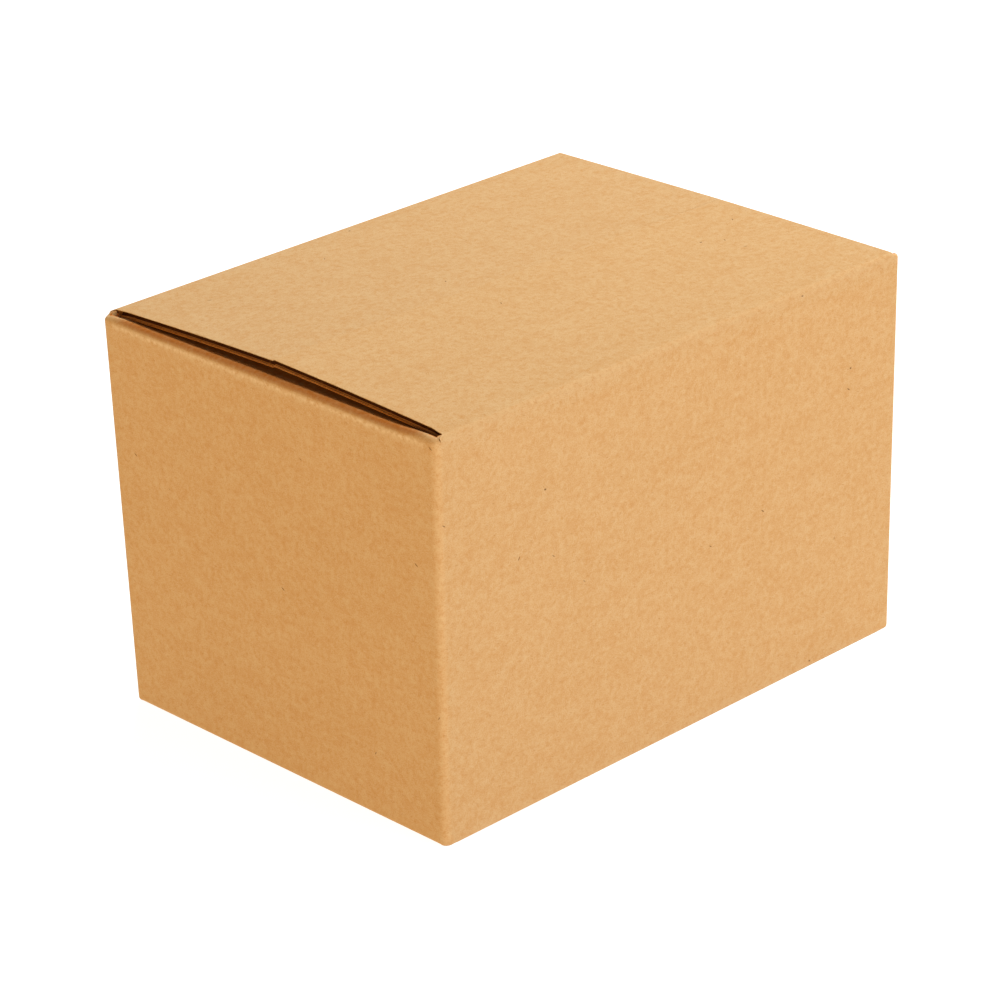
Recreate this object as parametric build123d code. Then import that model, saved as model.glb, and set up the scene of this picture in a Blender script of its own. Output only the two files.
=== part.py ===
from build123d import *
import os
from math import asin, atan2, ceil, cos, degrees, hypot, sin, tan

# A closed shipping carton: a regular slotted container, die-cut from one sheet of C-flute board,
# scored, folded, and glued at one corner and underneath. Nothing holds its two outer top flaps.
# X runs along the long panels, Y along the end panels and Z up. The origin is the middle of the
# footprint, on the table. Millimetres throughout.

# The box, over its outside faces
length = 350.0  # over the two end panels
width = 250.0  # over the two long panels, at the table
height = 230.0  # from the table to the creases of the outer top flaps
lean_out = 4.7  # each long panel leans out this far by its top crease
seam_rise = 5.5  # the outer top flaps spring up this far at their meeting edges
inner_flap_length = 127.0  # measured over the end panel

# The board: two flat liners with a fluted medium between them
board = 4.0
liner = 0.3
flute_pitch = 7.9
medium = 0.3
flute_tip_radius = 1.0
crushed_band = 12.0  # the board is pressed solid this far from a crease

# Folds and the glued joint
fold_radius = 0.5  # inside a fold
corner_radius = 4.5  # outside the upright folds
top_crease_radius = 3.4  # outside the creases of the top flaps
bottom_crease_radius = 2.5  # outside the creases of the bottom flaps, pressed sharper
top_bulge = 1.8  # the folds of the inner top flaps stand this far above the flaps
foot_gap = 0.6  # the end panels' folds and the corners stop this far above the table
corner_drop = 1.7  # the corners stop this far below the outer top flaps' creases
tab_width = 35.0
tab_taper = 12.0  # each end of the glue tab slopes in this far

# Clearances
glue_gap = 0.3  # a line of glue between two layers
side_clearance = 0.3  # beside a flap's cut end
seam_gap = 0.4  # between two flaps that meet edge to edge
lift_clearance = 0.3  # between an outer top flap and the panel that it hinges on
hinge_offset = 0.15  # the outer liner bends this far outside the crease's own corner

# What follows from them
# from a corner's outside to a flap's cut end, which clears the glue tab and its rounded fold
setback = 2 * board + glue_gap + fold_radius + side_clearance
lean = atan2(lean_out, height)
corner_top = height - corner_drop
long_panel_top = height - board - lift_clearance
inner_flap_top = height - board
inner_bottom_z = board + glue_gap  # underside of the inner bottom flaps
fold_reach = 3 * board  # how much of a panel is drawn together with its fold
outer_flap_half = length / 2 - setback


def panel_y(z, depth=0.0):
    """Half the width at a height, this deep inside a long panel's outside face."""
    return width / 2 + lean_out * z / height - depth / cos(lean)


def folded_board(path, radii, left):
    """The section of one thickness of board beside its outside face, a path of straight runs.

    The board lies to the left or right of the path. radii gives each fold's outside radius.
    """
    points = [Vector(*point) for point in path]
    turn = 90 if left else -90
    sides = [(b - a).normalized().rotate(Axis.Z, turn) for a, b in zip(points, points[1:])]
    inner = [points[0] + sides[0] * board]
    for point, before, after in zip(points[1:], sides, sides[1:]):
        inner.append(point + (before + after) * (board / (1 + before.dot(after))))
    inner.append(points[-1] + sides[-1] * board)
    outline = make_face(Polyline(*points, *reversed(inner), close=True))
    for number, radius in radii.items():
        bend = sides[number - 1].cross(sides[number]).Z
        outside_here = (bend > 0) == left
        corners = (points[number], inner[number])
        for corner, outside in zip(corners, (outside_here, not outside_here)):
            vertex = outline.vertices().sort_by_distance(corner)[0]
            outline = fillet(vertex, radius if outside else fold_radius)
    return outline


def long_slab(outside, inside, x_low, x_high):
    """A slab that leans with the back panel, between two depths in from its outside face."""
    corners = [
        (panel_y(foot_gap, outside), foot_gap),
        (panel_y(corner_top, outside), corner_top),
        (panel_y(corner_top, inside), corner_top),
        (panel_y(foot_gap, inside), foot_gap),
    ]
    outline = Plane.YZ * make_face(Polyline(*corners, close=True))
    return Pos(x_low, 0, 0) * extrude(outline, x_high - x_low)


def wall_block(inset):
    """The solid inside a ring of walls, this far in from their outside faces."""
    low = panel_y(foot_gap, inset)
    high = panel_y(corner_top, inset)
    corners = [(-low, foot_gap), (low, foot_gap), (high, corner_top), (-high, corner_top)]
    outline = Plane.YZ * make_face(Polyline(*corners, close=True))
    return extrude(outline, length / 2 - inset, both=True)


def glue_tab():
    """The tab that carries on from one end panel, inside the back panel."""
    outside = board + glue_gap
    slab = long_slab(outside, outside + board, length / 2 - tab_width, length / 2)
    shape = Polyline(
        (length / 2, foot_gap),
        (length / 2, corner_top),
        (outer_flap_half + side_clearance, corner_top),
        (outer_flap_half + side_clearance, long_panel_top),
        (length / 2 - tab_width, long_panel_top - tab_taper),
        (length / 2 - tab_width, inner_bottom_z + tab_taper),
        (outer_flap_half + side_clearance, inner_bottom_z),
        (outer_flap_half + side_clearance, foot_gap),
        close=True,
    )
    return slab & extrude(Plane.XZ * make_face(shape), width, both=True)


def round_upright(ring, end, side, depth_x, depth_y, radius):
    """Round the ring's upright edge at these depths in from an end and a long panel's faces."""
    middle = (foot_gap + corner_top) / 2
    spot = Vector(end * (length / 2 - depth_x), side * panel_y(middle, depth_y), middle)
    edge = min(ring.edges(), key=lambda candidate: (candidate.center() - spot).length)
    return fillet(edge, radius)


def walls():
    """The ring of four panels, with three folded corners and one glued joint."""
    ring = wall_block(0) - wall_block(board)
    # one end panel parts from the back panel, and turns into the tab instead
    ring -= long_slab(board, board + glue_gap, length / 2 - board, length / 2)
    ring += glue_tab()
    for end, side in ((-1, -1), (-1, 1), (1, -1), (1, 1)):
        start = board + glue_gap if (end, side) == (1, 1) else 0
        ring = round_upright(ring, end, side, 0, start, corner_radius)
        ring = round_upright(ring, end, side, board, start + board, fold_radius)
    return ring


def end_fold(panel_z, ridge_z, flap_z, flap_reach, half_width, radius):
    """Part of the +X end panel and of the flap folded in from it.

    The rounded fold stands out to ridge_z, and slopes back to the flap's outside face at flap_z
    where the outer flap's cut end is.
    """
    outward = 1 if ridge_z > panel_z else -1
    drop = abs(ridge_z - flap_z)
    # the slope is tangent to the fold's round
    reach = hypot(setback - radius, radius - drop)
    slope = asin(radius / reach) - atan2(radius - drop, setback - radius)
    path = [
        (length / 2, panel_z),
        (length / 2, flap_z + outward * setback * tan(slope)),
        (outer_flap_half, flap_z),
        (length / 2 - flap_reach, flap_z),
    ]
    outline = folded_board(path, {1: radius, 2: radius}, left=outward > 0)
    return extrude(Plane.XZ * outline, half_width, both=True)


def bottom_fold():
    """Part of the back panel and the outer bottom flap folded in from it."""
    path = [(panel_y(fold_reach), fold_reach), (panel_y(0), 0), (seam_gap / 2, 0)]
    outline = folded_board(path, {1: bottom_crease_radius}, left=False)
    return extrude(Plane.YZ * outline, outer_flap_half, both=True)


def flute_channels(span):
    """The empty half of a board's section: channels on alternate sides of the medium."""
    depth = board - 2 * liner
    flank = flute_pitch / 2 - medium * hypot(depth, flute_pitch / 2) / depth
    channel = make_face(Polyline((-flank, depth / 2), (0, -depth / 2), (flank, depth / 2), close=True))
    channel = fillet(channel.vertices().sort_by(Axis.Y)[0], flute_tip_radius)
    last = ceil(span / flute_pitch) + 1
    channels = []
    for number in range(-last, last + 1):
        turned = channel if number % 2 else channel.rotate(Axis.Z, 180)
        channels.append(Pos(number * flute_pitch / 2, 0) * turned)
    return channels


def fluted_strip(span, run):
    """Board lying on z = 0 with its flutes along Y, from y = 0 to its cut edge at y = run."""
    section = Rectangle(span, board) - flute_channels(span)
    return Pos(0, run, board / 2) * extrude(Plane.XZ * section, run)


def both_ends(half):
    """A +X piece and its mirror image at -X."""
    return [half, mirror(half, about=Plane.YZ)]


def make_carton():
    """The folded sheet: walls, tab, four bottom flaps and the two inner top flaps."""
    low_half = panel_y(0) - setback
    top_half = panel_y(inner_flap_top) - setback
    ridge_z = inner_flap_top + top_bulge
    high_panel_z = ridge_z - fold_reach
    low_panel_z = foot_gap + fold_reach

    # clear the panels where their folds go
    high_strip = Pos(length / 2, 0, (high_panel_z + height) / 2)
    high_strip *= Box(2 * board, 2 * top_half, height - high_panel_z)
    low_strip = Pos(length / 2, 0, low_panel_z / 2) * Box(2 * board, 2 * low_half, low_panel_z)
    bottom_strip = Pos(0, 0, fold_reach / 2) * Box(2 * outer_flap_half, 2 * width, fold_reach)
    carton = walls() - both_ends(high_strip) - both_ends(low_strip) - bottom_strip
    # the long panels stop below the outer top flaps
    slot_half = outer_flap_half + side_clearance
    top_strip = Pos(0, 0, (long_panel_top + height) / 2)
    carton -= top_strip * Box(2 * slot_half, 2 * width, height - long_panel_top)

    top = (high_panel_z, ridge_z, inner_flap_top, crushed_band, top_half, top_crease_radius)
    carton += both_ends(end_fold(*top))
    bottom = (low_panel_z, foot_gap, inner_bottom_z, inner_flap_length, low_half)
    carton += both_ends(end_fold(*bottom, bottom_crease_radius))
    flutes = fluted_strip(2 * top_half, inner_flap_length - crushed_band)
    flutes = Pos(length / 2 - crushed_band, 0, inner_flap_top - board) * Rot(0, 0, 90) * flutes
    carton += both_ends(flutes)
    fold = bottom_fold()
    return carton + [fold, mirror(fold, about=Plane.XZ)]


def make_outer_flap():
    """The back outer top flap, closed: it slopes up from its crease to the middle seam."""
    crease_y = panel_y(height)
    rise = atan2(seam_rise, crease_y)
    run = hypot(crease_y - seam_gap / 2 - board * sin(rise), seam_rise)
    span = 2 * outer_flap_half
    band = Pos(0, crushed_band / 2, board / 2) * Box(span, crushed_band, board)
    flap = band + Pos(0, crushed_band, 0) * fluted_strip(span, run - crushed_band)
    crease = flap.edges().filter_by(Axis.X).sort_by_distance(Vector(0, 0, board))[0]
    flap = Pos(0, 0, -board) * fillet(crease, top_crease_radius)
    # it turns to face the seam, and tips up about its crease
    return Pos(0, crease_y, height) * Rot(degrees(-rise), 0, 0) * Rot(0, 0, 180) * flap


back_flap = make_outer_flap()
parts = {
    "carton": make_carton(),
    "outer_flap_back": back_flap,
    "outer_flap_front": mirror(back_flap, about=Plane.XZ),
}

os.makedirs("parts", exist_ok=True)
for name, shape in parts.items():
    export_step(shape, f"parts/{name}.step")
    print(name, len(shape.solids()), "solid", round(shape.volume / 1000, 1), "cm3")

hinge_y = panel_y(height) + hinge_offset
print("hinge lines at y = +/-", round(hinge_y, 3), "and z =", height + hinge_offset)
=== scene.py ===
from math import cos, hypot, pi, radians, sin

import bmesh
import bpy
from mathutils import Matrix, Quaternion, Vector, noise


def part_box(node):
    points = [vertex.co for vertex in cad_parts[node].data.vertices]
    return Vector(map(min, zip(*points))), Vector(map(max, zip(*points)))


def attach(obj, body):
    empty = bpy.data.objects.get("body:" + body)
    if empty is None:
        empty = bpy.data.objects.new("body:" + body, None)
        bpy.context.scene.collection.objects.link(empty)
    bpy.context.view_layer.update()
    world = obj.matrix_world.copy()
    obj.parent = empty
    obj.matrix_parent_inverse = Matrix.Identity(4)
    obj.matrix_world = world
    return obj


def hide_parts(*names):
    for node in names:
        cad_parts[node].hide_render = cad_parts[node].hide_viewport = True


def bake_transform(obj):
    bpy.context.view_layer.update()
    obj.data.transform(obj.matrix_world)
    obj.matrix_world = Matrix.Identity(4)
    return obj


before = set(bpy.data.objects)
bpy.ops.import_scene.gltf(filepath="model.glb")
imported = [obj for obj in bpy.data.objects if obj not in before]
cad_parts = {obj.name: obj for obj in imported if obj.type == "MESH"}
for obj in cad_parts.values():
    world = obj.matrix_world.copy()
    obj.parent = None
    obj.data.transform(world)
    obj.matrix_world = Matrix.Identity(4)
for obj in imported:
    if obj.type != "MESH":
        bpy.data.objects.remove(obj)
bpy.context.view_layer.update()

# Sizes are in millimetres up to the point where a vertex is made. Every board is described by three
# numbers: how far along a crease, how far across the sheet, and how deep under the outer liner.
mm = 0.001

boxSize = {
    "halfLength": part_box("carton")[1].x / mm,  # end panel's outside face
    "halfWidth": 125.0,                        # long panel's outside face, at the floor
    "height": 230.0,                           # creases of the outer top flaps
    "leanOut": 4.7,                            # how far the long panels lean out by their creases
    "slot": 9.1,                               # corner to the cut end of a flap
}
boardType = {
    "thick": 4.0,
    "liner": 0.36,
    "medium": 0.3,
    "flutePitch": 7.9,
    "crushed": 12.0,      # pressed flat this far from a crease
}
cutDepths = (0.0, boardType["liner"], boardType["thick"] - boardType["liner"], boardType["thick"])
creaseRadius = 0.6    # inside a fold
paintedShadeDepth = 2.1     # beside an outer flap's crease the cut end is painted dark under its outer liner, down to here: painted shade
linerFace, cutFace, hollowShadeFace = 0, 1, 2   # material slots of every piece; the third is a near-black painted shade for the board's hollows


def smooth(x, low, high):
    t = min(1.0, max(0.0, (x - low) / (high - low)))
    return t * t * (3 - 2 * t)


def mix(a, b, t):
    return a + (b - a) * t


def spread(low, high, step):
    # evenly spaced numbers from low to high, near this far apart
    count = max(1, round(abs(high - low) / step))
    return [mix(low, high, i / count) for i in range(count + 1)]


def faceY(z):
    # outside face of a long panel, which leans out
    return boxSize["halfWidth"] + boxSize["leanOut"] * z / boxSize["height"]


class Sheet:
    # welded vertices and faces of one piece, with each vertex's place on the flat sheet
    def __init__(self, name):
        self.name = name
        self.points = []
        self.onSheet = []
        self.wearAndShade = []
        self.faces = []
        self.finish = []
        self.known = {}

    def vertex(self, point, onSheet, wearAndShade):
        key = tuple(round(c * 2e4) for c in point)
        if key not in self.known:
            self.known[key] = len(self.points)
            self.points.append([c * mm for c in point])
            self.onSheet.append([c * mm for c in onSheet])
            self.wearAndShade.append(wearAndShade)
        return self.known[key]

    def face(self, corners, finish):
        corners = [c for i, c in enumerate(corners) if c != corners[i - 1]]
        if len(corners) > 2:
            self.faces.append(corners)
            self.finish.append(finish)

    def grid(self, place, along, across, finish):
        # place(a, b) gives a vertex number
        rows = [[place(a, b) for a in along] for b in across]
        for low, high in zip(rows, rows[1:]):
            for i in range(len(low) - 1):
                self.face([low[i], low[i + 1], high[i + 1], high[i]], finish)

    def cutEdge(self, place, along, across, depths, walls):
        # closes the sides of a board; the outer liner's own cut edge stays as pale as its face
        for upper, lower in zip(depths, depths[1:]):
            # a cut end's band from the outer liner down to the shade depth gets the near-black
            # finish: painted shade
            finish = linerFace if upper == 0.0 else hollowShadeFace if lower == paintedShadeDepth else cutFace
            for wall in walls:
                if wall in ("start", "end"):
                    edge = along[0] if wall == "start" else along[-1]
                    self.grid(lambda d, b: place(edge, b, d), (upper, lower), across, finish)
                else:
                    edge = across[0] if wall == "low" else across[-1]
                    self.grid(lambda a, d: place(a, edge, d), along, (upper, lower), finish)

    def slab(self, place, along, across, walls, depths=cutDepths):
        # a full thickness of board: place(a, b, depth) gives a vertex number
        for depth in (depths[0], depths[-1]):
            self.grid(lambda a, b: place(a, b, depth), along, across, linerFace)
        self.cutEdge(place, along, across, depths, walls)

    def build(self, materials):
        mesh = bpy.data.meshes.new(self.name)
        mesh.from_pydata(self.points, [], self.faces)
        work = bmesh.new()
        work.from_mesh(mesh)
        bmesh.ops.recalc_face_normals(work, faces=work.faces)
        loose = sum(len(edge.link_faces) != 2 for edge in work.edges)
        work.to_mesh(mesh)
        work.free()
        mesh.polygons.foreach_set("material_index", self.finish)
        mesh.polygons.foreach_set("use_smooth", [True] * len(self.faces))
        place = mesh.attributes.new("onSheet", "FLOAT_VECTOR", "POINT")
        place.data.foreach_set("vector", [c for point in self.onSheet for c in point])
        mesh.attributes.new("wearAndShade", "FLOAT", "POINT").data.foreach_set("value", self.wearAndShade)
        for material in materials:
            mesh.materials.append(material)
        mesh.set_sharp_from_angle(angle=radians(38))
        obj = bpy.data.objects.new(self.name, mesh)
        bpy.context.collection.objects.link(obj)
        print(f"{self.name}: {len(mesh.polygons)} faces, {loose} open edges")
        return obj


def flutedRun(sheet, place, along, across, walls, phase, depths=cutDepths):
    # two liners with a wavy medium between them, cut open at the far edge
    liner, thick = boardType["liner"], boardType["thick"]
    # the liners' inner faces get the near-black finish: painted shade inside the flutes
    for depth, finish in zip(cutDepths, (linerFace, hollowShadeFace, hollowShadeFace, linerFace)):
        sheet.grid(lambda a, b: place(a, b, depth), along, across, finish)
    sheet.cutEdge(place, along, across, cutDepths[:2], walls)
    sheet.cutEdge(place, along, across, cutDepths[2:], walls)
    # the end of the crushed band closes the flutes
    sheet.grid(lambda a, d: place(a, across[0], d), along, depths[1:-1], cutFace)
    swing = thick / 2 - liner - boardType["medium"] / 2 + 0.04
    turn = 2 * pi / boardType["flutePitch"]
    steps = spread(along[0], along[-1], boardType["flutePitch"] / 10)

    def wave(a, b, side):
        height = swing * cos(turn * (a - along[0]) + phase)
        slope = -swing * turn * sin(turn * (a - along[0]) + phase)
        out = side * boardType["medium"] / 2 / hypot(1, slope)
        inside = 1.0 if a in (steps[0], steps[-1]) else 0.0
        return place(a + slope * out * (1 - inside), b, thick / 2 + height - out)

    rows = [across[0] + 0.4] + list(across[1:-1]) + [across[-1] - 0.05]
    for pair in zip(steps, steps[1:]):
        # painted shade: the medium takes the near-black finish except where it lies near the inner
        # liner
        deep = cos(turn * (sum(pair) / 2 - along[0]) + phase) > 0.78
        for side in (1, -1):
            sheet.grid(lambda a, b: wave(a, b, side), pair, rows, cutFace if deep else hollowShadeFace)
    for edge in (rows[0], rows[-1]):
        sheet.grid(lambda a, side: wave(a, edge, side), steps, (1, -1), cutFace)
    for edge in (steps[0], steps[-1]):
        sheet.grid(lambda side, b: wave(edge, b, side), (1, -1), rows, cutFace)


# The carton is the walls, glue tab, bottom flaps and inner top flaps. A corner's key is the signs of
# its x and y, and an end's key is the sign of its x.
cartonMake = {
    "cornerRadius": 4.5,
    "glueLine": 0.3,
    "tabWidth": 35.0,
    "tabTaper": 5.7,
    "wallLow": 12.0,          # the walls run between these heights, and folds carry on from there
    "wallHigh": 220.0,
    "foot": 0.6,
    "columnTop": {(-1, -1): 229.1, (-1, 1): 228.0, (1, -1): 228.1, (1, 1): 227.4},
    "columnRadius": {(-1, -1): 3.4, (-1, 1): 2.6, (1, -1): 1.6, (1, 1): 3.4},
    "shoulderTop": 229.5,     # where a corner tucks in under an outer flap's bend
    "ridge": 227.8,           # top of the inner flaps' folds
    "cornerLift": {(-1, -1): 1.6, (-1, 1): 0.7, (1, -1): -0.7, (1, 1): -0.7},   # at the folds' ends
    "flapTop": 226.0,
    "foldRadius": 3.4,
    "footRadius": 2.5,
    "innerBottom": 4.3,
    "flapLength": 127.0,
    "flapHalf": 121.0,        # half the width of an inner top flap
    "cutPhase": 2.2,          # where its cut ends catch the medium's wave
    "seamGap": 0.2,
    "ridgeBulge": {-1: 0.9, 1: -0.8},   # the folds spring up between their corners
    "flapBulge": {-1: 1.1, 1: 0.2},
}
runNormals = [(0, 1), (-1, 0), (0, -1), (1, 0), (0, 1)]


def ringCorners(z):
    # outside corners of the folded strip, from the back panel's free end round to the glue tab
    half, y = boxSize["halfLength"], faceY(z)
    under = y - boardType["thick"] - cartonMake["glueLine"]
    return [(half, y), (-half, y), (-half, -y), (half, -y), (half, under),
            (half - cartonMake["tabWidth"], under)]


def ringPoint(station, z, depth):
    kind, k, near, far, share = station
    points = ringCorners(z)
    nx, ny = runNormals[k]
    if kind == "run":
        (ax, ay), (bx, by) = points[k], points[k + 1]
        span = hypot(bx - ax, by - ay)
        way = near + share * (span - near - far)
        return (ax + (bx - ax) / span * way - nx * depth, ay + (by - ay) / span * way - ny * depth)
    px, py = runNormals[k - 1]
    radius = cartonMake["cornerRadius"]
    turn = share * pi / 2
    cx, cy = points[k][0] - radius * (px + nx), points[k][1] - radius * (py + ny)
    reach = radius - depth
    return (cx + (px * cos(turn) + nx * sin(turn)) * reach,
            cy + (py * cos(turn) + ny * sin(turn)) * reach)


def ringStations():
    # places round the strip, with the numbers of those where each panel's flaps start and end
    slot, radius = boxSize["slot"], cartonMake["cornerRadius"]
    stations, flapStart, flapEnd = [], [], []
    for k in range(5):
        if k:
            stations += [("arc", k, 0, 0, i / 7) for i in range(8)]
        if k in (1, 2, 3):
            stations.append(("run", k, radius + 0.6, 0, 0))
        if k == 0:
            stations += [("run", 0, offset, 0, 0) for offset in (0.0, 3.0, 6.0)]
        flapStart.append(len(stations))
        if k == 4:
            offsets = (slot, 14.0, 20.0, 27.0, cartonMake["tabWidth"])
            stations += [("run", 4, offset, 0, 0) for offset in offsets]
            break
        far = slot if k < 3 else slot - boardType["thick"] - cartonMake["glueLine"]
        count = (36, 27)[k % 2]
        stations += [("run", k, slot, far, i / count) for i in range(count + 1)]
        flapEnd.append(len(stations) - 1)
        if k < 3:
            stations.append(("run", k, 0, radius + 0.6, 1))
    return stations, flapStart, flapEnd


stations, flapStart, ringFlapEnd = ringStations()
roundSheet = [0.0]
for before, after in zip(stations, stations[1:]):
    ax, ay = ringPoint(before, 115, 0)
    bx, by = ringPoint(after, 115, 0)
    roundSheet.append(roundSheet[-1] + hypot(bx - ax, by - ay))


def bow(x, y, z):
    # panels of real board are never quite flat; this fades out at every edge
    edge = smooth(z, 13, 70) * smooth(215 - z, 0, 60)
    half, wide = boxSize["halfLength"], faceY(z)
    if abs(x) > half - 4.6:
        edge *= smooth(wide - abs(y), 6, 50)
    else:
        edge *= smooth(half - abs(x), 10, 60)
    swell = noise.noise(Vector((x * 0.011 + 3, y * 0.013, z * 0.012))) * 0.9 - 0.15
    return swell * edge


def wallVertex(sheet):
    def place(index, z, depth):
        index = int(index)
        station = stations[index]
        if index > flapStart[4]:
            share = (index - flapStart[4]) / (len(stations) - 1 - flapStart[4])
            taper = cartonMake["tabTaper"] * share
            low, high = cartonMake["wallLow"], cartonMake["wallHigh"]
            z = mix(low + taper, high - taper, (z - low) / (high - low))
        x, y = ringPoint(station, z, depth)
        crease = 0.7 * sin(pi * station[4]) if station[0] == "arc" and station[1] < 4 else 0.0
        out = bow(x, y, z)
        if station[0] == "run":
            x += runNormals[station[1]][0] * out
            y += runNormals[station[1]][1] * out
        return sheet.vertex((x, y, z), (roundSheet[index], z, depth), crease)
    return place


def columnVertex(sheet, long, end, upward):
    # a corner between two panels' flaps: long and end are the stations at its two sides
    def place(index, row, depth):
        index = int(index)
        station = stations[index]
        side = (index - long) / (end - long)   # 0 at the long panel, 1 at the end panel
        base = cartonMake["wallHigh"] if upward else cartonMake["wallLow"]
        if upward:
            x, y = ringPoint(station, base, 0)
            corner = (1 if x > 0 else -1, 1 if y > 0 else -1)
            radius = mix(cartonMake["foldRadius"], cartonMake["columnRadius"][corner],
                         smooth(side, 0.1, 0.4) * (1 - smooth(side, 0.7, 1)))
            top = mix(cartonMake["shoulderTop"], cartonMake["columnTop"][corner],
                      smooth(side, 0.03, 0.4))
            foldTop = cartonMake["ridge"] + cartonMake["cornerLift"][corner]
            top = mix(top, foldTop, smooth(side, 0.7, 1))
            reach = 1
        else:
            radius = mix(1.6, cartonMake["footRadius"], smooth(side, 0.5, 1))
            top, reach = cartonMake["foot"], -1
        if row <= 2:
            z = mix(base, top - reach * radius, row / 2)
            tuck = 0.0
        else:
            turn = (row - 2) / 5 * pi / 2
            z = top - reach * radius * (1 - sin(turn))
            tuck = radius * (1 - cos(turn)) + (0.12 * (1 - smooth(side, 0, 0.5)) if upward else 0.0)
        deep = tuck + depth * (boardType["thick"] - tuck) / boardType["thick"]
        x, y = ringPoint(station, z, deep)
        crease = 0.7 * sin(pi * station[4]) if station[0] == "arc" and station[1] < 4 else 0.0
        crease = max(crease, 0.8 * smooth(row, 2, 5))
        return sheet.vertex((x, y, z), (roundSheet[index], z + reach * tuck, depth), crease)
    return place


def foldProfile(upward):
    # outside and inside points (distance in from the end panel's face, height), paired
    thick = boardType["thick"]
    if upward:
        base, radius, ridge = cartonMake["wallHigh"], cartonMake["foldRadius"], cartonMake["ridge"]
        level, way = cartonMake["flapTop"], 1
    else:
        base, radius, ridge = cartonMake["wallLow"], cartonMake["footRadius"], cartonMake["foot"]
        level, way = cartonMake["innerBottom"], -1
    insideLevel = level - way * thick
    start = ridge - way * radius      # where the fold begins to turn
    outside = [(0, base), (0, mix(base, start, 0.55)), (0, start - way * 0.4)]
    inside = [(thick, base), (thick, mix(base, insideLevel, 0.4)), (thick, insideLevel - way * 0.9)]
    for i in range(9):
        turn = i / 8 * radians(100 if upward else 108)
        outside.append((radius * (1 - cos(turn)), ridge - way * radius * (1 - sin(turn))))
        corner = i / 8 * pi / 2
        inside.append((thick + creaseRadius * (1 - cos(corner)),
                       insideLevel - way * creaseRadius * (1 - sin(corner))))
    slot, crushed = boxSize["slot"], boardType["crushed"]
    start = outside[-1]
    for i in (1, 2, 3, 4):
        x = mix(start[0], slot, i / 4)
        outside.append((x, mix(start[1], level, smooth(x, start[0] - 2, slot))))
        inside.append((mix(thick + creaseRadius, slot, i / 4), insideLevel))
    outside.append((crushed, level))
    inside.append((crushed, insideLevel))
    way = [220.0 if upward else 12.0]
    for a, b in zip(outside, outside[1:]):
        way.append(way[-1] + hypot(b[0] - a[0], b[1] - a[1]) * (1 if upward else -1))
    return outside, inside, way


def endBulge(end, x, y):
    # how far an inner top flap stands above level
    middle = 1 - (y / cartonMake["flapHalf"]) ** 2
    return cartonMake["flapBulge"][end] * middle * smooth(x, 90, 160)


def foldVertex(sheet, end, upward):
    outside, inside, way = foldProfile(upward)
    level = cartonMake["flapTop"] if upward else cartonMake["innerBottom"]

    def place(index, row, depth):
        index, row = int(index), int(row)
        share = depth / boardType["thick"]
        inward = mix(outside[row][0], inside[row][0], share)
        z = mix(outside[row][1], inside[row][1], share)
        height = min(outside[row][1], level) if upward else max(outside[row][1], level)
        _, y = ringPoint(stations[index], height, 0)
        crease = 0.0
        if upward:
            middle = 1 - (y / cartonMake["flapHalf"]) ** 2
            lift = smooth(outside[row][1], 221, 227.5) if row < 8 else 1.0
            corner = 1 - smooth(cartonMake["flapHalf"] - abs(y), 0, 30)
            corner *= cartonMake["cornerLift"][(end, 1 if y > 0 else -1)]
            ridge = (cartonMake["ridgeBulge"][end] * middle + corner) * lift
            settle = smooth(inward, 4, boardType["crushed"])
            z += mix(ridge, endBulge(end, boxSize["halfLength"] - inward, y), settle)
            crease = 2.2 * smooth(row, 0.5, 2.2) * (1 - smooth(row, 3, 5))
            # painted shade: the near end's fold is marked darker on its inner slope towards the slit,
            # where the outer flap's cut end overhangs it
            if end < 0:
                crease -= smooth(row, 3.5, 8.5) * smooth(cartonMake["flapHalf"] - abs(y), -2, 12)
        else:
            crease = 0.6 * smooth(row, 3, 7) * (1 - smooth(row, 8, 12))
        x = end * (boxSize["halfLength"] - inward)
        return sheet.vertex((x, y, z), (roundSheet[index], way[row], depth), crease)
    return place, way[-1]


def innerFlapVertex(sheet, end, index0, y0, startWay, upward):
    # the flat part of a flap folded in from an end panel
    turned = -end
    level = cartonMake["flapTop"] if upward else cartonMake["innerBottom"] + boardType["thick"]

    def place(y, inward, depth):
        x = boxSize["halfLength"] - inward
        z = level - depth if upward else level - boardType["thick"] + depth
        if upward:
            z += endBulge(end, x, y)
        up = startWay + (inward - boardType["crushed"]) * (1 if upward else -1)
        onSheet = (roundSheet[index0] - turned * (y - y0), up, depth)
        # painted shade on the near inner flap's first millimetres, under the outer flaps' cut ends
        paintedShade = 1 - smooth(inward, 12, 14.5) if upward and end < 0 else 0.0
        paintedShade *= smooth(cartonMake["flapHalf"] - abs(y), -2, 12)
        return sheet.vertex((end * x, y, z), onSheet, -paintedShade)
    return place


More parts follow.
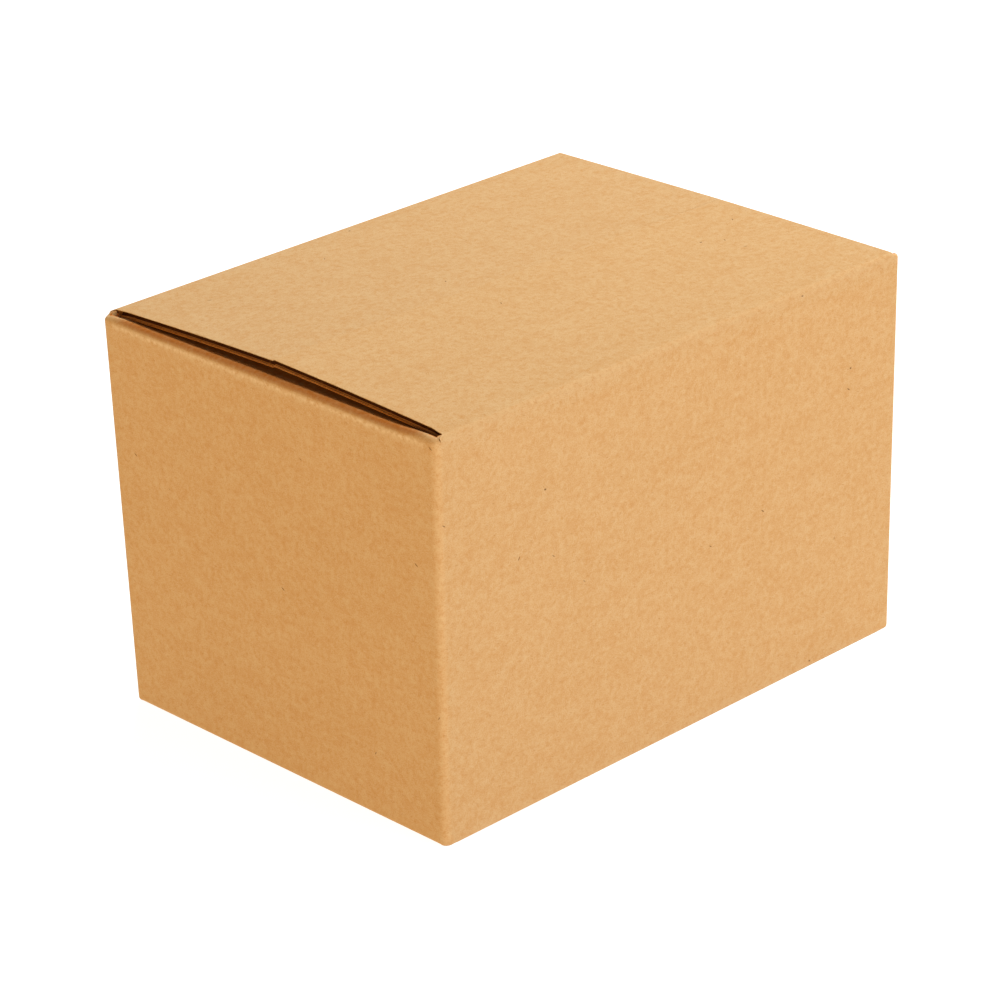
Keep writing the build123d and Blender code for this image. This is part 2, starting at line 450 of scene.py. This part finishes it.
def makeCarton():
    sheet = Sheet("cartonBoard")
    low, high = cartonMake["wallLow"], cartonMake["wallHigh"]
    everywhere = list(range(len(stations)))
    sheet.slab(wallVertex(sheet), everywhere, spread(low, high, 9), ("start", "end"))

    # the long panels' cut tops, under the outer flaps' pieces, and the glue tab's two ends
    place = wallVertex(sheet)
    for k in (0, 2):
        top = range(flapStart[k], ringFlapEnd[k] + 1)
        sheet.grid(lambda a, d: place(a, high, d), top, cutDepths, cutFace)
    tab = range(flapStart[4], len(stations))
    for z in (low, high):
        sheet.grid(lambda a, d: place(a, z, d), tab, cutDepths, cutFace)

    # the corners, above and below
    corners = [(flapStart[1], ringFlapEnd[0]), (ringFlapEnd[1], flapStart[2]),
               (flapStart[3], ringFlapEnd[2])]
    rows = range(8)
    for upward in (True, False):
        for end, long in corners:
            place = columnVertex(sheet, long, end, upward)
            first, last = min(long, end), max(long, end)
            sheet.slab(place, range(first, last + 1), rows, ("start", "end", "high"))
        place = columnVertex(sheet, flapStart[0], flapStart[0] - 8, upward)
        sheet.slab(place, range(0, flapStart[0] + 1), rows, ("start", "end", "high"))
        place = columnVertex(sheet, flapStart[4], ringFlapEnd[3], upward)
        sheet.slab(place, range(ringFlapEnd[3], flapStart[4] + 1), rows, ("start", "end", "high"))

    # the end panels' folds and flaps
    for end, k in ((-1, 1), (1, 3)):
        across = range(flapStart[k], ringFlapEnd[k] + 1)
        for upward in (True, False):
            place, way = foldVertex(sheet, end, upward)
            count = len(foldProfile(upward)[0])
            sheet.slab(place, across, range(count), ("start", "end"))
            z = cartonMake["flapTop"] if upward else cartonMake["innerBottom"]
            ys = [ringPoint(stations[i], z, 0)[1] for i in across]
            flat = innerFlapVertex(sheet, end, flapStart[k], ys[0], way, upward)
            inward = spread(boardType["crushed"], cartonMake["flapLength"], 9)
            if upward:
                flutedRun(sheet, flat, ys, inward, ("start", "end", "high"), cartonMake["cutPhase"])
            else:
                sheet.slab(flat, ys, inward, ("start", "end", "high"))

    # the long panels' bottom folds and flaps
    radius, thick = cartonMake["footRadius"], boardType["thick"]
    for k, side in ((0, 1), (2, -1)):
        def place(index, row, depth):
            index = int(index)
            wide = faceY(0)
            if row <= 2:
                z = mix(low, radius, row / 2)
                out = (faceY(z) - wide, z)
                inside = (out[0] - thick, mix(low, thick + creaseRadius, row / 2))
                way = z
            elif row <= 9:
                turn = (row - 2) / 7 * pi / 2
                out = (-radius * (1 - cos(turn)), radius * (1 - sin(turn)))
                inside = (-thick - creaseRadius * (1 - cos(turn)),
                          thick + creaseRadius * (1 - sin(turn)))
                way = radius * (1 - turn)
            else:
                share = (row - 9) / 14
                out = (mix(-radius, cartonMake["seamGap"] - wide, share), 0.0)
                inside = (mix(-thick - creaseRadius, cartonMake["seamGap"] - wide, share), thick)
                way = -radius - 120 * share
            share = depth / thick
            x, _ = ringPoint(stations[index], low, 0)
            y = side * (wide + mix(out[0], inside[0], share))
            z = mix(out[1], inside[1], share)
            wearAndShade = smooth(row, 1, 4) * (1 - smooth(row, 7, 10))
            return sheet.vertex((x, y, z), (roundSheet[index], way, depth), wearAndShade)
        across = range(flapStart[k], ringFlapEnd[k] + 1)
        sheet.slab(place, across, range(24), ("start", "end", "high"))
    return sheet


# The outer top flaps, each with the bend that joins it to its long panel.
flapMake = {
    "bendRadius": 3.4,
    "panelStrip": 10.0,       # how much of the long panel is drawn with the bend
    "bendReach": 5.0,         # the bend moves within this far of the crease
    "seamGap": 0.09,
    "hollowFrom": 4.8,        # the flutes stay open up to here
    "riseNear": 5.5,          # how far the seam springs up at -X, and at +X
    "riseFar": 0.9,
    "bellyNear": 0.55,
    "bellyFar": 0.1,
    "backDrop": 0.7,          # the back flap lies this much lower at the near end of the seam
    "cutPhase": -0.6,         # where the cut end catches the medium's wave
}
flapPieces = [
    {"name": "frontTopFlap", "side": -1, "run": 2, "hooks": {-1: (5.4, 0.5), 1: (3.6, 3.4)},
     "body": "outer_flap_front", "slot": "front_flap_board"},
    {"name": "backTopFlap", "side": 1, "run": 0, "hooks": {-1: (3.6, 0.5), 1: (3.5, 3.5)},
     "body": "outer_flap_back", "slot": "back_flap_board"},
]


def flapLift(side, x, inward):
    # height of the flap's outer face above its crease
    half, run = boxSize["halfLength"], faceY(boxSize["height"])
    far = smooth(x, -half - 60, half + 20)
    rise = mix(flapMake["riseNear"], flapMake["riseFar"], far)
    if side > 0:
        rise -= flapMake["backDrop"] * (1 - far)
    share = inward / run
    belly = mix(flapMake["bellyNear"], flapMake["bellyFar"], far)
    return rise * share + 4 * belly * share * (1 - share)


def flapEnd(t, hook, rest):
    # how far the cut end runs out past the slot: most at the crease, where it hooks down
    out = mix(hook, max(rest, 0.3 * hook), smooth(t, 0.2, 3.6))
    return mix(out, rest, smooth(t, 6, 12)) * smooth(t, -3.5, -2.3)


def flapVertex(sheet, make):
    side, radius, thick = make["side"], flapMake["bendRadius"], boardType["thick"]
    height = boxSize["height"]
    middle = (flapStart[make["run"]] + ringFlapEnd[make["run"]]) // 2
    turned = 1 if make["run"] == 2 else -1

    def section(x, t):
        # outside and inside points of the board, as (distance in from the crease, height)
        start = faceY(height) - faceY(height - radius)
        if t <= -radius:
            z = height + t
            out = (faceY(height) - faceY(z), z)
            low = height - flapMake["panelStrip"]
            share = (z - low) / (flapMake["panelStrip"] - radius)
            inside = (out[0] + thick, mix(low, height - thick - creaseRadius, share))
        elif t < radius:
            turn = (t + radius) / (2 * radius) * pi / 2
            out = (mix(start, radius, 1 - cos(turn)), height - radius + radius * sin(turn))
            out = (out[0], out[1] + flapLift(side, x, radius) * sin(turn) ** 3)
            inside = (start + thick + creaseRadius * (1 - cos(turn)),
                      height - thick - creaseRadius * (1 - sin(turn)))
        else:
            out = (t, height + flapLift(side, x, t))
            settled = 9.0
            share = min(1.0, (t - radius) / (settled - radius))
            reach = mix(start + thick + creaseRadius, settled, share) if share < 1 else t
            inside = (reach, height - thick + flapLift(side, x, reach) * smooth(share, 0, 1))
        return out, inside

    def place(x, t, depth):
        out, inside = section(x, t)
        share = depth / thick
        near = smooth(abs(x), 145, boxSize["halfLength"] - boxSize["slot"])
        end = 1 if x > 0 else -1
        past = x + end * flapEnd(t, *make["hooks"][end]) * near
        y = side * (faceY(height) - mix(out[0], inside[0], share))
        onSheet = (roundSheet[middle] + turned * x, height + t, depth)
        wearAndShade = 0.7 * max(0.0, 1 - abs(t + 0.5) / 4.5)
        return sheet.vertex((past, y, mix(out[1], inside[1], share)), onSheet, wearAndShade)
    return place


def makeFlap(make, materials):
    sheet = Sheet(make["name"])
    radius, half = flapMake["bendRadius"], boxSize["halfLength"] - boxSize["slot"]
    place = flapVertex(sheet, make)
    ends = [half - 1.5, half - 4, half - 8, half - 13]
    along = [-half] + [-x for x in ends] + spread(20 - half, half - 20, 8.5) + ends[::-1] + [half]
    bend = [-radius + 2 * radius * i / 10 for i in range(11)]
    across = [-flapMake["panelStrip"], -8.0, -6.0, -4.6, -3.8] + bend
    across += [3.9, flapMake["hollowFrom"]]
    shadedDepths = cutDepths[:2] + (paintedShadeDepth,) + cutDepths[2:]
    sheet.slab(place, along, across, ("start", "end", "low"), shadedDepths)
    run = faceY(boxSize["height"]) - flapMake["seamGap"]
    fluted = [flapMake["hollowFrom"], 6.5, 9.0, 12.0] + spread(20, run, 9)
    flutedRun(sheet, place, along, fluted, ("start", "end", "high"), flapMake["cutPhase"], shadedDepths)
    piece = sheet.build(materials)
    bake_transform(piece)
    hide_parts(make["body"])
    return piece


def nodeMaker(tree):
    def add(kind, inputs=(), **settings):
        node = tree.nodes.new(kind)
        for name, value in settings.items():
            setattr(node, name, value)
        for name, value in dict(inputs).items():
            if isinstance(value, bpy.types.NodeSocket):
                tree.links.new(value, node.inputs[name])
            else:
                node.inputs[name].default_value = value
        return node
    return add


def kraftBoard(name, look):
    material = bpy.data.materials.new(name)
    material.use_nodes = True
    tree = material.node_tree
    add = nodeMaker(tree)
    shader = tree.nodes["Principled BSDF"]
    place = add("ShaderNodeAttribute", attribute_name="onSheet").outputs["Vector"]
    wearAndShade = add("ShaderNodeAttribute", attribute_name="wearAndShade").outputs["Fac"]

    def pattern(scale, detail=2.0, rough=0.5, stretch=(1, 1, 1), shift=(0, 0, 0)):
        moved = add("ShaderNodeMapping", {"Vector": place, "Scale": stretch, "Location": shift})
        inputs = {"Vector": moved.outputs[0], "Scale": scale, "Detail": detail, "Roughness": rough}
        return add("ShaderNodeTexNoise", inputs).outputs["Fac"]

    def band(value, low, high, bottom=0.0, top=1.0):
        return add("ShaderNodeMapRange", {"Value": value, "From Min": low, "From Max": high,
                                          "To Min": bottom, "To Max": top}).outputs["Result"]

    def blendIn(base, colour, amount, way="MIX"):
        node = add("ShaderNodeMix", data_type="RGBA", blend_type=way)
        for slot, value in ((0, amount), (6, base), (7, colour)):
            if isinstance(value, bpy.types.NodeSocket):
                tree.links.new(value, node.inputs[slot])
            else:
                node.inputs[slot].default_value = value
        return node.outputs[2]

    def times(a, b):
        return add("ShaderNodeMath", {0: a, 1: b}, operation="MULTIPLY").outputs[0]

    def flecks(scale, stretch, angle, size, share, seed):
        # scattered short marks: one in each chosen cell
        moved = add("ShaderNodeMapping", {"Vector": place, "Rotation": (0, 0, radians(angle)),
                                          "Location": (seed, seed * 0.7, seed * 0.3)}).outputs[0]
        moved = add("ShaderNodeMapping", {"Vector": moved, "Scale": stretch}).outputs[0]
        cells = add("ShaderNodeTexVoronoi", {"Vector": moved, "Scale": scale})
        near = band(cells.outputs["Distance"], size, size * 0.55)
        chosen = add("ShaderNodeSeparateColor", {"Color": cells.outputs["Color"]}).outputs[0]
        return times(near, band(chosen, share, share * 0.98))

    clouds = pattern(look["cloudScale"], 3, 0.6)
    mottle = pattern(look["mottleScale"], 3, 0.6, shift=(0.3, 0.1, 0.0))
    grain = pattern(1300, 2, 0.7)
    streaks = pattern(90, 2, 0.5, stretch=(1, 9, 1), shift=(0.7, 0.2, 0))
    patches = pattern(look["patchScale"], 2, 0.9, shift=(0.5, 0.8, 0.2))
    colour = blendIn(look["dark"], look["light"], band(clouds, 0.3, 0.7))
    colour = blendIn(colour, look["mottle"], band(patches, 0.48, 0.75, 0, look["patching"]))
    colour = blendIn(colour, look["pale"], band(patches, 0.50, 0.25, 0, look["patching"]))
    colour = blendIn(colour, look["mottle"], band(mottle, 0.52, 0.72, 0, look["mottling"]))
    colour = blendIn(colour, look["pale"], band(mottle, 0.46, 0.3, 0, look["mottling"] * 0.8))
    colour = blendIn(colour, look["mottle"], band(streaks, 0.56, 0.75, 0, look["streaking"]))
    colour = blendIn(colour, look["pale"], band(grain, 0.5, 0.75, 0, look["graining"]))
    colour = blendIn(colour, look["mottle"], band(grain, 0.5, 0.28, 0, look["graining"]))
    for scale, stretch, angle, size, share, seed in look["fibres"]:
        mark = flecks(scale, stretch, angle, size, share, seed)
        colour = blendIn(colour, look["fibre"], times(mark, look["fibreStrength"]))
    for scale, stretch, angle, size, share, seed in look["flecks"]:
        mark = flecks(scale, stretch, angle, size, share, seed)
        colour = blendIn(colour, look["fleck"], times(mark, 0.85))
    for scale, stretch, angle, size, share, seed in look["paleFlecks"]:
        mark = flecks(scale, stretch, angle, size, share, seed)
        colour = blendIn(colour, look["paleFleck"], mark)
    rubbed = times(band(pattern(420, 3, 0.7, shift=(0.1, 0.9, 0)), 0.38, 0.62), wearAndShade)
    colour = blendIn(colour, look["rubbed"], times(rubbed, look["rubbing"]))
    # painted shade: where the wear attribute goes negative, a mottled orange-brown darkening under
    # and beside the outer flaps' cut ends
    paintedShade = times(band(mottle, 0.3, 0.6, 0.75, 1.0), band(wearAndShade, 0.0, -1.0))
    colour = blendIn(colour, look["paintedShadeTone"], times(paintedShade, look["paintedShadeAmount"]))
    tree.links.new(colour, shader.inputs["Base Color"])
    tree.links.new(band(mottle, 0.3, 0.7, 0.78, 0.92), shader.inputs["Roughness"])
    shader.inputs["Specular IOR Level"].default_value = 0.0

    height = add("ShaderNodeMath", {0: grain, 1: 0.6}, operation="MULTIPLY").outputs[0]
    height = add("ShaderNodeMath", {0: height, 1: mottle}, operation="ADD").outputs[0]
    bump = add("ShaderNodeBump", {"Strength": look["bump"], "Distance": 0.0003, "Height": height})
    tree.links.new(bump.outputs["Normal"], shader.inputs["Normal"])
    return material


kraftLook = {
    "dark": (0.532, 0.313, 0.141, 1),
    "light": (0.549, 0.330, 0.155, 1),
    "mottle": (0.485, 0.238, 0.082, 1),
    "pale": (0.576, 0.385, 0.208, 1),
    "fibre": (0.367, 0.157, 0.049, 1),
    "fleck": (0.12, 0.05, 0.02, 1),
    "paleFleck": (0.673, 0.513, 0.333, 1),
    "rubbed": (0.643, 0.437, 0.250, 1),
    # the next colour is painted shade, for the zone under the outer flaps' cut ends
    "paintedShadeTone": (0.35, 0.11, 0.018, 1),
    "cloudScale": 22.0,
    "patchScale": 95.0,
    "mottleScale": 330.0,
    "patching": 0.48,
    "mottling": 0.70,
    "streaking": 0.10,
    "graining": 0.70,
    "fibreStrength": 0.45,
    "rubbing": 0.50,
    "paintedShadeAmount": 0.95,
    "bump": 0.16,
    # each row: cells a metre, stretch, angle, size in its cell, share of cells marked, seed
    "fibres": [
        (140, (1, 4, 1), 20, 0.16, 0.30, 1.3),
        (160, (1, 5, 1), 75, 0.15, 0.30, 4.1),
        (150, (1, 5, 1), -40, 0.15, 0.25, 7.7),
    ],
    "flecks": [
        (34, (1, 4, 1), 35, 0.055, 0.10, 2.2),
        (34, (1, 4, 1), -60, 0.05, 0.08, 5.9),
        (60, (1, 1.5, 1), 10, 0.06, 0.06, 8.4),
    ],
    "paleFlecks": [(30, (1, 2.5, 1), 80, 0.04, 0.05, 3.7)],
}
# painted light: the outer flaps form the top, so their base colours are set a little lighter and
# bluer than the walls', as the top is lit, and differ slightly from each other
frontFlapLook = dict(kraftLook, dark=(0.532, 0.321, 0.150, 1), light=(0.548, 0.338, 0.163, 1))
backFlapLook = dict(frontFlapLook, dark=(0.524, 0.319, 0.153, 1), light=(0.540, 0.336, 0.166, 1))
cutLook = dict(
    kraftLook,
    dark=(0.50, 0.175, 0.045, 1),
    light=(0.56, 0.21, 0.055, 1),
    mottle=(0.42, 0.13, 0.03, 1),
    pale=(0.60, 0.28, 0.09, 1),
    mottling=0.5,
    rubbing=0.0,
    paintedShadeAmount=0.0,
    bump=0.4,
    flecks=[],
    paleFlecks=[],
)

# painted shade: a near-black finish for the flutes' insides and the band under an outer flap's liner
# at its cut end
hollowShadeLook = dict(cutLook, dark=(0.05, 0.014, 0.006, 1), light=(0.08, 0.024, 0.009, 1),
                  mottle=(0.04, 0.01, 0.004, 1), pale=(0.10, 0.035, 0.014, 1))
cutBoard = [kraftBoard("cutKraftEdge", cutLook), kraftBoard("fluteHollowShade", hollowShadeLook)]
print("finishes made")

carton = makeCarton().build([kraftBoard("kraftLiner", kraftLook)] + cutBoard)
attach(carton, "carton")
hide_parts("carton")
print("carton made")

for make, look in zip(flapPieces, (frontFlapLook, backFlapLook)):
    makeFlap(make, [kraftBoard(make["name"] + "Kraft", look)] + cutBoard)
print("outer top flaps made")


# A white table lit from below, in metres.
studio = {
    "floor": (0.3, 0.3, 0.3, 1),
    "floorGlow": 0.92,
    "floorReach": 6.0,
    "clothHeight": 4.0,
    "clothGlow": 1.2,
    "sky": (1.0, 1.0, 1.0, 1),
    "skyStrength": 0.2,
    "lens": 136.95,
    "cameraAt": (-1.328, -1.3841, 0.9603),
    "cameraAim": (-0.00624, 0.00358, 0.10163),
    "cameraRoll": -1.869,     # degrees
    "lampAim": (0, 0, 0.12),
}

floorMesh = bpy.data.meshes.new("floor")
reach = studio["floorReach"]
edge = [(-reach, -reach), (reach, -reach), (reach, reach), (-reach, reach)]
floorMesh.from_pydata([(x, y, 0) for x, y in edge], [], [(0, 1, 2, 3)])
floor = bpy.data.objects.new("floor", floorMesh)
bpy.context.collection.objects.link(floor)
floorMaterial = bpy.data.materials.new("paleFloor")
floorMaterial.use_nodes = True
floorShader = floorMaterial.node_tree.nodes["Principled BSDF"]
floorShader.inputs["Base Color"].default_value = studio["floor"]
floorShader.inputs["Roughness"].default_value = 0.9
floorShader.inputs["Emission Color"].default_value = (1, 1, 1, 1)
floorShader.inputs["Emission Strength"].default_value = studio["floorGlow"]
floorShader.inputs["Specular IOR Level"].default_value = 0.1
floorMesh.materials.append(floorMaterial)

# white cloth round the table, for low views; only the camera sees it, so it adds no light
clothMesh = bpy.data.meshes.new("backCloth")
clothMesh.from_pydata([(x, y, z) for z in (0, studio["clothHeight"]) for x, y in edge], [],
                      [(i, (i + 1) % 4, (i + 1) % 4 + 4, i + 4) for i in range(4)])
cloth = bpy.data.objects.new("backCloth", clothMesh)
cloth.visible_diffuse = cloth.visible_glossy = cloth.visible_shadow = False
bpy.context.collection.objects.link(cloth)
clothMaterial = floorMaterial.copy()
clothMaterial.name = "whiteCloth"
clothShader = clothMaterial.node_tree.nodes["Principled BSDF"]
clothShader.inputs["Emission Strength"].default_value = studio["clothGlow"]
clothMesh.materials.append(clothMaterial)

world = bpy.data.worlds.new("studio")
world.use_nodes = True
background = world.node_tree.nodes["Background"]
background.inputs["Color"].default_value = studio["sky"]
background.inputs["Strength"].default_value = studio["skyStrength"]
bpy.context.scene.world = world

# name, place, size, power, colour
softLamps = [
    ("keyLamp", (0.9, -2.8, 1.7), 2.6, 92.5, (1.0, 0.95, 0.82)),
    ("rightLamp", (2.2, 0.9, 2.4), 2.6, 162, (0.94, 0.99, 1.0)),
    ("leftLamp", (-3.0, -0.4, 0.65), 1.2, 42.7, (1.0, 0.66, 0.13)),
]
for name, at, size, power, colour in softLamps:
    lamp = bpy.data.lights.new(name, "AREA")
    lamp.size = size
    lamp.energy = power
    lamp.color = colour
    holder = bpy.data.objects.new(name, lamp)
    holder.location = at
    aim = Vector(studio["lampAim"]) - Vector(at)
    holder.rotation_euler = aim.to_track_quat("-Z", "Y").to_euler()
    bpy.context.collection.objects.link(holder)

camera = bpy.data.objects.new("camera", bpy.data.cameras.new("camera"))
camera.data.lens = studio["lens"]
camera.data.sensor_width = 36.0
camera.data.clip_end = 50.0
aim = Vector(studio["cameraAim"]) - Vector(studio["cameraAt"])
roll = Quaternion((0, 0, 1), radians(studio["cameraRoll"]))
camera.location = studio["cameraAt"]
camera.rotation_euler = (aim.to_track_quat("-Z", "Y") @ roll).to_euler()
bpy.context.collection.objects.link(camera)
bpy.context.scene.camera = camera
bpy.context.scene.view_settings.view_transform = "Standard"
print("studio made")
